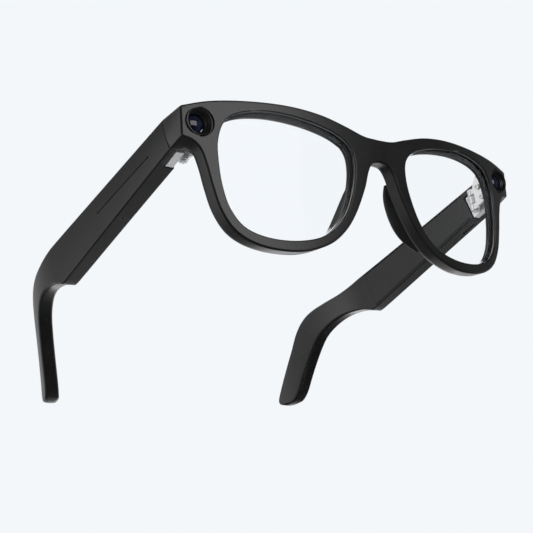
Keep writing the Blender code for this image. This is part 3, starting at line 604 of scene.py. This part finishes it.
def rear_rings(station, opening, outer, outer_in):
    """The rings across the back, which run round the end piece where there is one."""
    middle = opening.lerp(outer, 0.45)
    if station.rear is None:
        spots = [middle.lerp(outer_in, i / (BACK_STEPS + 1)) for i in range(BACK_STEPS + 1)]
        return [front_point(p.x, p.y, RIM_DEPTH) for p in spots]
    edge = REAR_EDGE
    h = -16.8 + 16.1 * station.share
    low, high = TEMPLE_BOTTOM + edge, ENDPIECE_TOP - edge
    z = low + (high - low) * station.share
    rings = [front_point(ENDPIECE_INNER_X, h, RIM_DEPTH)]
    for inset, back in ((0.0, edge), (0.29 * edge, 0.29 * edge), (edge, 0.0)):
        rings.append(Vector((ENDPIECE_INNER_X + inset, ENDPIECE_BACK - back, z)))
    for inset, back in ((edge, 0.0), (0.29 * edge, 0.29 * edge), (0.0, edge)):
        p = station.rear + station.inward * inset
        rings.append(Vector((p.x, ENDPIECE_BACK - back, p.y)))
    return rings


def front_rings():
    """The closed loops of the half front, one wearing-frame point per station."""
    stations = rim_stations() + endpiece_stations() + brow_stations()
    outer = [s.outer for s in stations]
    opening = [s.opening for s in stations]
    inside = {i for i, s in enumerate(stations) if s.inside}
    outer_in = offset_outline(outer, RIM_BEVEL, inside)
    opening_out = offset_outline(opening, -OPENING_BEVEL)
    groove = offset_outline(opening, -LENS_GROOVE)
    columns = []
    for i, station in enumerate(stations):
        column = []
        lip = (groove[i] - opening[i]) * -station.lip
        for share, depth in OPENING_RINGS:
            p = opening[i].lerp(opening_out[i], share)
            column.append(front_point(p.x, p.y, depth))
        column.append(front_point(groove[i].x, groove[i].y, LENS_DEPTH))
        for share, depth in OPENING_BACK_RINGS:
            p = opening[i].lerp(opening_out[i], share) + lip
            column.append(front_point(p.x, p.y, depth))
        column += rear_rings(station, opening[i], outer[i], outer_in[i])
        column += wall_column(station, outer[i], outer_in[i], column[-1])
        for share, depth in FRONT_RINGS:
            p = outer[i].lerp(outer_in[i], share)
            column.append(front_point(p.x, p.y, depth))
        for share in (0.66, 0.33):
            p = opening[i].lerp(outer[i], share)
            column.append(front_point(p.x, p.y, 0.0))
        columns.append(column)
    return [list(ring) for ring in zip(*columns)]


def wall_column(station, outer, outer_in, rear_spot):
    """The outer wall's points from the back to the front's bevel."""
    column = []
    front_edge = front_point(outer.x, outer.y, WALL_RINGS[-1][1])
    for (share, depth), along in zip(WALL_RINGS, WALL_SHARES):
        p = outer.lerp(outer_in, share)
        spot = front_point(p.x, p.y, depth)
        if station.rear is not None:
            spot = spot.lerp(front_edge.lerp(rear_spot, along), station.grown)
        column.append(spot)
    return column


def front_mesh():
    """Both halves of the front, joined at the middle plane."""
    bm = bmesh.new()
    grid = [[bm.verts.new(p) for p in ring] for ring in front_rings()]
    first_open = len(OPENING_RINGS) + 1 + len(OPENING_BACK_RINGS) + BACK_STEPS + 1
    last_open = first_open + len(WALL_RINGS) + len(FRONT_RINGS) - 1
    count = len(grid[0])
    for r, ring in enumerate(grid):
        following = grid[(r + 1) % len(grid)]
        for i in range(count):
            j = (i + 1) % count
            on_middle_plane = abs(ring[i].co.x) < 1e-6 and abs(ring[j].co.x) < 1e-6
            if on_middle_plane and first_open <= r < last_open:
                continue
            bm.faces.new((ring[i], ring[j], following[j], following[i]))
    loose = [v for v in bm.verts if not v.link_faces]
    bmesh.ops.delete(bm, geom=loose, context="VERTS")
    other = bmesh.ops.duplicate(bm, geom=bm.verts[:] + bm.edges[:] + bm.faces[:])
    copied = [g for g in other["geom"] if isinstance(g, bmesh.types.BMVert)]
    bmesh.ops.scale(bm, verts=copied, vec=(-1, 1, 1))
    bmesh.ops.remove_doubles(bm, verts=bm.verts, dist=0.001)
    return bm


def mirrored(bm):
    """The body on the other side of the middle plane."""
    bmesh.ops.scale(bm, verts=bm.verts, vec=(-1, 1, 1))
    return bm


def module_centre():
    """The middle of the left module's face."""
    return front_point(MODULE_X, MODULE_H, 0)


def make_front():
    """The rims, bridge and end pieces, with the module bores and the screws' pilot holes."""
    tools = []
    for flip in (False, True):
        made = [turned(MODULE_BORE, module_centre(), DEPTH_AXIS, 72)]
        for z in LEAF_SCREW_Z:
            centre = (0, FRONT_SCREW_Y, z)
            made.append(rod(PILOT_HOLE, ENDPIECE_INNER_X - 2, PILOT_END[0], centre, (1, 0, 0)))
        tools += [mirrored(bm) if flip else bm for bm in made]
    piece(front_mesh(), "front_frame_fine", "front", "black_plastic", 1, ["front_frame"], tools)


# ---------------------------------------------------------------- modules

def make_module(side, names):
    """Bezel, domed window and lens barrel of one front module."""
    centre = module_centre()
    bezel, window, barrel = names
    bm = turned(BEZEL_RING, centre, DEPTH_AXIS, 80)
    piece(bm, bezel + "_fine", "front", "bezel_black", side, [bezel])
    turns = [math.radians(DOME_ANGLE) * i / DOME_STEPS for i in range(1, DOME_STEPS + 1)]
    dome = [(DOME_RADIUS * math.sin(a), DOME_TOP + DOME_RADIUS * (1 - math.cos(a))) for a in turns]
    rim = dome[-1][0]
    profile = [(0, DOME_TOP)] + dome + [(rim + 0.05, 2.6), (rim - 0.1, 2.7), (0, 2.7)]
    bm = turned(profile, centre, DEPTH_AXIS, 72)
    piece(bm, window + "_fine", "front", "module_glass", side, [window])
    bm = turned(BARREL_TUBE, centre, DEPTH_AXIS, 64)
    piece(bm, barrel + "_fine", "front", "bezel_black", side, [barrel])


# ---------------------------------------------------------------- lenses and pads

def make_lens(side):
    """A clear lens whose wedge-shaped edge sits in the rim's groove; the wedge faces are black,
    painted shade of the groove.
    """
    steps = 108
    edge = [smooth_point(OPENING, i * len(OPENING) / steps, closed=True) for i in range(steps)]
    inner = offset_outline(edge, LENS_CLEARANCE)
    tip = offset_outline(edge, -LENS_EDGE)
    centre = Vector(LENS_CENTRE)
    half = LENS_THICKNESS / 2
    shares = (0.0, 0.2, 0.4, 0.6, 0.8, 0.96, 1.0)
    layers = [(share, inner, -half) for share in shares] + [(1.0, tip, 0.0)]
    layers += [(share, inner, half) for share in reversed(shares)]
    bm = bmesh.new()
    rows = []
    for share, loop, depth in layers:
        spots = [centre] if share == 0.0 else [centre.lerp(p, share) for p in loop]
        rows.append([bm.verts.new(front_point(p.x, p.y, LENS_DEPTH + depth)) for p in spots])
    # The wedge faces of the edge get the black plastic: painted shade of the dark groove they sit
    # in.
    groove_shade_rows = (len(shares) - 1, len(shares))
    for r, (near, far) in enumerate(zip(rows, rows[1:])):
        for i in range(steps):
            j = (i + 1) % steps
            corners = [near[i % len(near)], near[j % len(near)]]
            corners += [far[j % len(far)], far[i % len(far)]]
            made = bm.faces.new(list(dict.fromkeys(corners)))
            made.material_index = int(r in groove_shade_rows)
    name = "lens_" + label_of(side)
    piece(bm, name + "_fine", "front", "clear_lens", side, [name], second="black_plastic")


def make_pad(side):
    """A moulded pad on the back of the rim beside the nose, highest in its middle."""
    first, last = PAD_SPAN
    steps = 30
    base = RIM_DEPTH + GAP
    sections = []
    for i in range(steps + 1):
        t = i / steps
        u = first + (last - first) * t
        edge = smooth_point(RIM_EDGE, u)
        along = (smooth_point(RIM_EDGE, u + 0.05) - smooth_point(RIM_EDGE, u - 0.05)).normalized()
        inward = Vector((-along.y, along.x))
        swell = math.sin(math.pi * (0.06 + 0.88 * t)) ** 0.8
        height = PAD_HEIGHT * swell
        lean = PAD_LEAN * swell
        profile = ((0.9, 0.0), (0.9 - lean * 0.6, height * 0.35), (0.9 - lean, height * 0.75),
                   (1.3 - lean * 0.6, height), (2.2, height * 0.92), (2.9, height * 0.45),
                   (3.1, 0.0))
        loop = []
        for k in range(25):
            p = smooth_point(profile, k / 4)
            spot = edge + inward * p.x
            loop.append(front_point(spot.x, spot.y, base + max(p.y, 0.0)))
        sections.append(loop)
    name = "nose_pad_" + label_of(side)
    piece(prism(sections), name + "_fine", "front", "pad_plastic", side, [name])


# ---------------------------------------------------------------- temples

def temple_outer_x(y):
    """The outer face: splayed and bowed, and curled in towards the head behind the ear."""
    straight = TEMPLE_X + TEMPLE_SPLAY * y - TEMPLE_BOW * (y / 100) ** 2
    return straight - CURL * (1 - math.cos(math.pi * max(0.0, y - CURL_START) / CURL_LENGTH)) / 2


def temple_inner_x(y):
    """The inner face of the tapering temple."""
    return temple_outer_x(y) - max(TEMPLE_THICK - TEMPLE_TAPER * y, HOOK_THICK)


def temple_top_z(y):
    """The top edge of the straight part, which rises towards the back."""
    return TEMPLE_TOP + TOP_SLOPE * (y / 100) + TOP_BOW * (y / 100) ** 2


def temple_ring(low, high, radius, inset):
    """A rounded rectangle between an underside and a top point, slightly crowned outside."""
    rise = (high - low).normalized()
    length = (high - low).length
    middle_y = (low.x + high.x) / 2
    width = temple_outer_x(middle_y) - temple_inner_x(middle_y)
    radius = max(min(radius, length / 2 - inset - 0.05, width / 2 - inset - 0.05), 0.05)
    near, far = inset + radius, length - inset - radius
    left, right = inset + radius, width - inset - radius
    spots = []
    corners = ((near, left, 180), (far, left, 90), (far, right, 0), (near, right, -90))
    for along, across, start in corners:
        if start == 90:
            for k in (0.25, 0.5, 0.75):
                spots.append((near + (far - near) * k, inset))
        if start == -90:
            for k in (0.75, 0.5, 0.25):
                spots.append((near + (far - near) * k, width - inset))
        spots += [corner_spot(along, across, radius, start, k) for k in range(6)]
    ring = []
    for along, across in spots:
        p = low + rise * along
        bulge = CROWN * (2 * along / length - 1) ** 2 * (1 - across / width)
        ring.append(Vector((temple_outer_x(p.x) - across - bulge, p.x, p.y)))
    return ring


def corner_spot(along, across, radius, start, k):
    """The k-th of six points round a corner of the section, which is walked one way round."""
    turn = math.radians(18 * k)
    if start == 180:
        return along - radius * math.cos(turn), across - radius * math.sin(turn)
    if start == 90:
        return along + radius * math.sin(turn), across - radius * math.cos(turn)
    if start == 0:
        return along + radius * math.cos(turn), across + radius * math.sin(turn)
    return along - radius * math.sin(turn), across + radius * math.cos(turn)


def temple_sections():
    """Sections from the hinge end to the ear tip."""
    made = []
    for y, inset in ((19.86, 0.14), (19.88, 0.07), (19.93, 0.02), (20.0, 0.0)):
        made.append((Vector((y, TEMPLE_BOTTOM)), Vector((y, temple_top_z(y))), TEMPLE_CORNER, inset))
    y = 22.0
    while y < 87.0:
        made.append((Vector((y, TEMPLE_BOTTOM)), Vector((y, temple_top_z(y))), TEMPLE_CORNER, 0.0))
        y += 2.5
    undersides = [p[0] for p in HOOK]
    tops = [p[1] for p in HOOK]
    last = 5 * (len(HOOK) - 1)
    for step in range(last + 1):
        u = step / 5
        radius = TEMPLE_CORNER + (HOOK_CORNER - TEMPLE_CORNER) * min(1.0, u / 6)
        inset = TIP_ROUNDING * (2 * max(0.0, u - len(HOOK) + 1.5)) ** 2
        made.append((smooth_point(undersides, u), smooth_point(tops, u), radius, inset))
    return [temple_ring(*values) for values in made]


def temple_slab(y_range, low, high, outer_in, inner_in, steps=16):
    """A body that follows the temple: insets from the underside, top, outer and inner face."""
    sections = []
    for i in range(steps + 1):
        y = y_range[0] + (y_range[1] - y_range[0]) * i / steps
        x_out = temple_outer_x(y) - outer_in
        x_in = temple_inner_x(y) + inner_in
        z_low = TEMPLE_BOTTOM + low
        z_high = temple_top_z(y) - high
        sections.append([Vector((x_out, y, z_low)), Vector((x_out, y, z_high)),
                         Vector((x_in, y, z_high)), Vector((x_in, y, z_low))])
    return prism(sections)


def inner_slab(y_range, edge, depth, out=0.0):
    """A slab of the given depth on the inner face, standing out of it by out."""
    bm = temple_slab(y_range, edge, edge, 0.0, -out)
    for vert in bm.verts:
        if abs(vert.co.x - temple_outer_x(vert.co.y)) < 1e-4:
            vert.co.x = temple_inner_x(vert.co.y) + depth
    return bm


def line_groove():
    """The fine straight groove along the outer face."""
    sections = []
    for i in range(9):
        spot = Vector(LINE_FRONT).lerp(Vector(LINE_REAR), i / 8)
        x = temple_outer_x(spot.x)
        sections.append([Vector((x - LINE_HALF, spot.x, spot.y)),
                         Vector((x + 0.3, spot.x, spot.y - LINE_HALF)),
                         Vector((x + 0.3, spot.x, spot.y + LINE_HALF))])
    return prism(sections)


def stadium(x, y_range, half, z0, z1):
    """An upright prism with round ends, long along Y."""
    low = []
    for centre, start in ((y_range[1] - half, 0), (y_range[0] + half, 180)):
        for k in range(13):
            turn = math.radians(start + 15 * k)
            spot = Vector((x + half * math.cos(turn), centre + half * math.sin(turn), z0))
            low.append(spot)
    return prism([low, [Vector((p.x, p.y, z1)) for p in low]])


def cavity_middle_x(y):
    """The middle of the hollow between the outer wall and the cover."""
    return (temple_outer_x(y) - WALL + temple_inner_x(y) + COVER_THICKNESS + GAP) / 2


def make_temple(side):
    """A temple's casing, with its openings cut in, and the cover on its inner face."""
    label = label_of(side)
    body = label + "_temple"
    x_pocket, y_pocket, z_pocket = LEAF_POCKET
    tools = [
        inner_slab(COVER_Y, COVER_EDGE, COVER_THICKNESS + GAP, 1.0),
        temple_slab(CAVITY_Y, EDGE_WALL, EDGE_WALL, WALL, -1.0),
        box(60.0, x_pocket, TEMPLE_FRONT - 1, y_pocket, TEMPLE_BOTTOM - 1, z_pocket),
        line_groove(),
        rod(LINE_HALF, -1.0, 1.0, (temple_outer_x(LINE_FRONT[0]), *LINE_FRONT), (1, 0, 0), 20),
    ]
    for z in LEAF_SCREW_Z:
        centre = (0, TEMPLE_SCREW_Y, z)
        tools.append(rod(PILOT_HOLE, LEAF_BLOCK_X, PILOT_END[1], centre, (1, 0, 0)))
    holes = []
    if side > 0:
        slot_x = cavity_middle_x(sum(SLOT_Y) / 2) + 0.6
        tools.append(stadium(slot_x, SLOT_Y, SLOT_HALF, TEMPLE_BOTTOM - 1, -8))
    else:
        mic = (cavity_middle_x(MIC_Y), MIC_Y, 0)
        tools.append(rod(MIC_RADIUS, TEMPLE_BOTTOM - 1, -8, mic, (0, 0, 1)))
        tools.append(button_hole())
        mouth = inner_slab(MOUTH_Y, 0.0, 4.0, 1.0)
        for vert in mouth.verts:
            vert.co.z = MOUTH_Z[0] if vert.co.z < 0 else MOUTH_Z[1]
        holes.append(mouth)
        for y in CONTACT_Y:
            face = temple_inner_x(y)
            holes.append(rod(CONTACT_HOLE, face - 1, face + 3, (0, y, CONTACT_Z), (1, 0, 0)))
    name = "temple_shell_" + label
    piece(prism(temple_sections()), name + "_fine", body, "black_plastic", side, [name], tools)
    y_range = (COVER_Y[0] + COVER_SEAM, COVER_Y[1] - COVER_SEAM)
    name = "temple_inner_cover_" + label
    slab = inner_slab(y_range, COVER_EDGE + GAP, COVER_THICKNESS)
    piece(slab, name + "_fine", body, "cover_plastic", side, [name], holes, 0.08)


def button_roof():
    """The lowest height of the cavity's roof along the button."""
    return temple_top_z(BUTTON_Y - BUTTON_LENGTH / 2) - EDGE_WALL


def button_hole():
    """The cutter for the button's hole in the top of the right temple."""
    middle = cavity_middle_x(BUTTON_Y)
    half_x, half_y = BUTTON_WIDTH / 2 + GAP, BUTTON_LENGTH / 2 + GAP
    y_range = (BUTTON_Y - half_y, BUTTON_Y + half_y)
    return stadium(middle, y_range, half_x, button_roof() - 1, 6.0)


def make_button():
    """The capture button: a round-ended cap on a flange."""
    middle = cavity_middle_x(BUTTON_Y)
    top = temple_top_z(BUTTON_Y) + BUTTON_PROUD
    base = button_roof() - GAP
    half_x, half_y = BUTTON_WIDTH / 2, BUTTON_LENGTH / 2
    y_range = (BUTTON_Y - half_y, BUTTON_Y + half_y)
    cap = stadium(middle, y_range, half_x, base, top)
    piece(cap, "capture_button_fine", "capture_button", "cover_plastic", -1, ["capture_button"],
          bevel=0.25)
    out_x, out_y = half_x + FLANGE_REACH[0], half_y + FLANGE_REACH[1]
    flange = box(middle - out_x, middle + out_x, BUTTON_Y - out_y, BUTTON_Y + out_y,
                 base - FLANGE_THICKNESS, base)
    piece(flange, "capture_button_flange", "capture_button", "cover_plastic", -1, bevel=0.1)


# ---------------------------------------------------------------- screws and hinge

def screw(head_end, head, shank, length, centre, axis):
    """A small pan-head screw; head is its radius and height, and axis points out of it."""
    radius, high = head
    profile = ((0, head_end), (radius * 0.55, head_end - 0.02), (radius * 0.88, head_end - 0.1),
               (radius, head_end - 0.28), (radius, head_end - high), (shank, head_end - high - 0.05),
               (shank, head_end - length + 0.15), (shank - 0.15, head_end - length),
               (0, head_end - length))
    return turned(profile, centre, axis, 40)


def cross_recess(head_end, radius, centre, axis):
    """The cross recess in a screw's head, as two cutters."""
    tools = []
    turn = Vector((0, 0, 1)).rotation_difference(Vector(axis)).to_matrix()
    reach = radius * 0.62
    for a, b in ((reach, RECESS_HALF), (RECESS_HALF, reach)):
        bm = box(-a, a, -b, b, head_end - RECESS_DEPTH, head_end + 1.0)
        for vert in bm.verts:
            vert.co = Vector(centre) + turn @ vert.co
        tools.append(bm)
    return tools


def make_screws(side):
    """The two screws of each leaf, and the pivot screw up through the knuckles."""
    label = label_of(side)
    front_length, temple_length = LEAF_SCREW_LENGTH
    for number, z in enumerate(LEAF_SCREW_Z, 1):
        jobs = (("front_leaf_screw_%d_%s", "front", LEAF_PLATE_X, FRONT_SCREW_Y, front_length),
                ("temple_leaf_screw_%d_%s", label + "_temple", LEAF_BLOCK_X, TEMPLE_SCREW_Y,
                 temple_length))
        for pattern, body, face, y, length in jobs:
            name = pattern % (number, label)
            centre = (face - GAP - LEAF_SCREW_HEAD[1], y, z)
            bm = screw(0.0, LEAF_SCREW_HEAD, LEAF_SCREW_SHANK, length, centre, (-1, 0, 0))
            recess = cross_recess(0.0, LEAF_SCREW_HEAD[0], centre, (-1, 0, 0))
            piece(bm, name + "_fine", body, "hinge_steel", side, [name], recess)
    seat = KNUCKLE_LOW - GAP
    centre = (HINGE_X, HINGE_Y, 0)
    head_end = HINGE_SCREW_HEAD[1] - seat
    length = head_end + KNUCKLE_TOP - 0.1
    bm = screw(head_end, HINGE_SCREW_HEAD, HINGE_SCREW_SHANK, length, centre, (0, 0, -1))
    recess = cross_recess(head_end, HINGE_SCREW_HEAD[0], centre, (0, 0, -1))
    recess = [hinge_tilted(tool) for tool in recess]
    name = "hinge_screw_" + label
    piece(hinge_tilted(bm), name + "_fine", "front", "hinge_steel", side, [name], recess)


def dress_cad_nodes():
    """Softens the edges of the nodes that are kept and gives them their finish."""
    slots = {"hinge_front_leaf": "hinge_steel", "hinge_temple_leaf": "hinge_steel",
             "camera_board": "board_green", "sensor_board": "board_green",
             "main_board": "board_green", "driver_board": "board_green",
             "battery": "battery_foil", "speaker": "speaker_metal", "microphone": "speaker_metal",
             "button_switch": "speaker_metal", "charging_contact": "contact_gold"}
    for name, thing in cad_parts.items():
        found = [look for start, look in slots.items() if name.startswith(start)]
        if not found:
            continue
        thing.data.materials.clear()
        thing.data.materials.append(LOOKS[found[0]])
        soften(thing, 0.12)


# ---------------------------------------------------------------- studio

def softbox(name, place, size, power):
    """A rectangular light that faces the subject and isn't seen itself."""
    data = bpy.data.lights.new(name, "AREA")
    data.shape = "RECTANGLE"
    data.size, data.size_y = size
    data.energy = power
    thing = bpy.data.objects.new(name, data)
    thing.location = place
    thing.rotation_mode = "QUATERNION"
    thing.rotation_quaternion = (Vector(SUBJECT) - thing.location).to_track_quat("-Z", "Y")
    thing.visible_camera = False
    bpy.context.scene.collection.objects.link(thing)


def studio_floor():
    """A pale floor far below, which glows a little and isn't mirrored in the pieces."""
    bm = bmesh.new()
    bmesh.ops.create_grid(bm, x_segments=2, y_segments=2, size=40.0)
    mesh = bpy.data.meshes.new("floor")
    bm.to_mesh(mesh)
    bm.free()
    floor = bpy.data.objects.new("floor", mesh)
    floor.location = (0, 0, FLOOR_Z)
    bpy.context.scene.collection.objects.link(floor)
    made = bpy.data.materials.new("floor_pale")
    made.use_nodes = True
    shader = made.node_tree.nodes["Principled BSDF"]
    shader.inputs["Base Color"].default_value = (0.80, 0.82, 0.85, 1.0)
    shader.inputs["Roughness"].default_value = 0.7
    shader.inputs["Emission Color"].default_value = (0.84, 0.87, 0.90, 1.0)
    shader.inputs["Emission Strength"].default_value = 0.75
    mesh.materials.append(made)
    floor.visible_glossy = False


def ramp(tree, source, stops):
    """A grey value that follows the source through (place, value) stops."""
    made = node(tree, "ShaderNodeValToRGB", [("Fac", source)])
    points = made.color_ramp.elements
    while len(points) < len(stops):
        points.new(0.5)
    for point, (place, value) in zip(points, stops):
        point.position = place
        point.color = grey(value)
    return made.outputs["Color"]


def pale_world():
    """Pale to look at; as a light, bright behind and to the wearer's right, dim above and below."""
    world = bpy.data.worlds.new("studio")
    bpy.context.scene.world = world
    world.use_nodes = True
    tree = world.node_tree
    shade = tree.nodes["Background"]
    place = node(tree, "ShaderNodeTexCoord")
    apart = node(tree, "ShaderNodeSeparateXYZ", [("Vector", place.outputs["Generated"])])
    half = [node(tree, "ShaderNodeMapRange", [("Value", apart.outputs[axis])]) for axis in "XYZ"]
    for spread_out in half:
        spread_out.inputs["From Min"].default_value = -1.0
    across = ramp(tree, half[0].outputs[0], ((0.0, 1.6), (0.28, 0.45), (0.78, 1.0)))
    depth = ramp(tree, half[1].outputs[0], ((0.25, 0.10), (0.80, 1.0)))
    height = ramp(tree, half[2].outputs[0],
                  ((0.27, 0.14), (0.45, 0.9), (0.60, 0.9), (0.72, 0.60), (0.84, 0.15)))
    plan = node(tree, "ShaderNodeMix", data_type="RGBA", blend_type="MULTIPLY")
    light = node(tree, "ShaderNodeMix", data_type="RGBA", blend_type="MULTIPLY")
    for mixed, first, second in ((plan, across, depth), (light, plan.outputs[2], height)):
        mixed.inputs[0].default_value = 1.0
        tree.links.new(first, mixed.inputs[6])
        tree.links.new(second, mixed.inputs[7])
    path = node(tree, "ShaderNodeLightPath")
    seen = node(tree, "ShaderNodeMath", [(0, path.outputs["Is Camera Ray"]),
                                         (1, path.outputs["Is Transmission Ray"])],
                operation="MAXIMUM")
    mix = node(tree, "ShaderNodeMix", data_type="RGBA")
    tree.links.new(seen.outputs[0], mix.inputs[0])
    tree.links.new(light.outputs[2], mix.inputs[6])
    mix.inputs[7].default_value = (0.90, 0.93, 0.957, 1.0)
    tree.links.new(mix.outputs[2], shade.inputs["Color"])
    shade.inputs["Strength"].default_value = 1.0


def make_camera():
    """The camera, below the glasses and to the wearer's right of their front."""
    data = bpy.data.cameras.new("photo_camera")
    data.sensor_width = 36.0
    data.lens = CAMERA_LENS
    data.clip_start = 0.01
    data.clip_end = 50.0
    camera = bpy.data.objects.new("photo_camera", data)
    camera.rotation_mode = "QUATERNION"
    camera.location = CAMERA_PLACE
    camera.rotation_quaternion = CAMERA_TURN
    bpy.context.scene.collection.objects.link(camera)
    bpy.context.scene.camera = camera


def make_studio():
    """The floor, the world, the lights and the camera."""
    bpy.context.scene.view_settings.view_transform = "Standard"
    studio_floor()
    pale_world()
    for name, place, size, power in SOFTBOXES:
        softbox(name, place, size, power)
    make_camera()


def main():
    """Makes every shown piece and the studio."""
    make_front()
    make_module(-1, ("camera_bezel", "camera_window", "camera_barrel"))
    make_module(1, ("sensor_bezel", "sensor_window", "sensor_barrel"))
    for side in (1, -1):
        make_lens(side)
        make_pad(side)
        make_temple(side)
        make_screws(side)
    make_button()
    dress_cad_nodes()
    make_studio()


main()
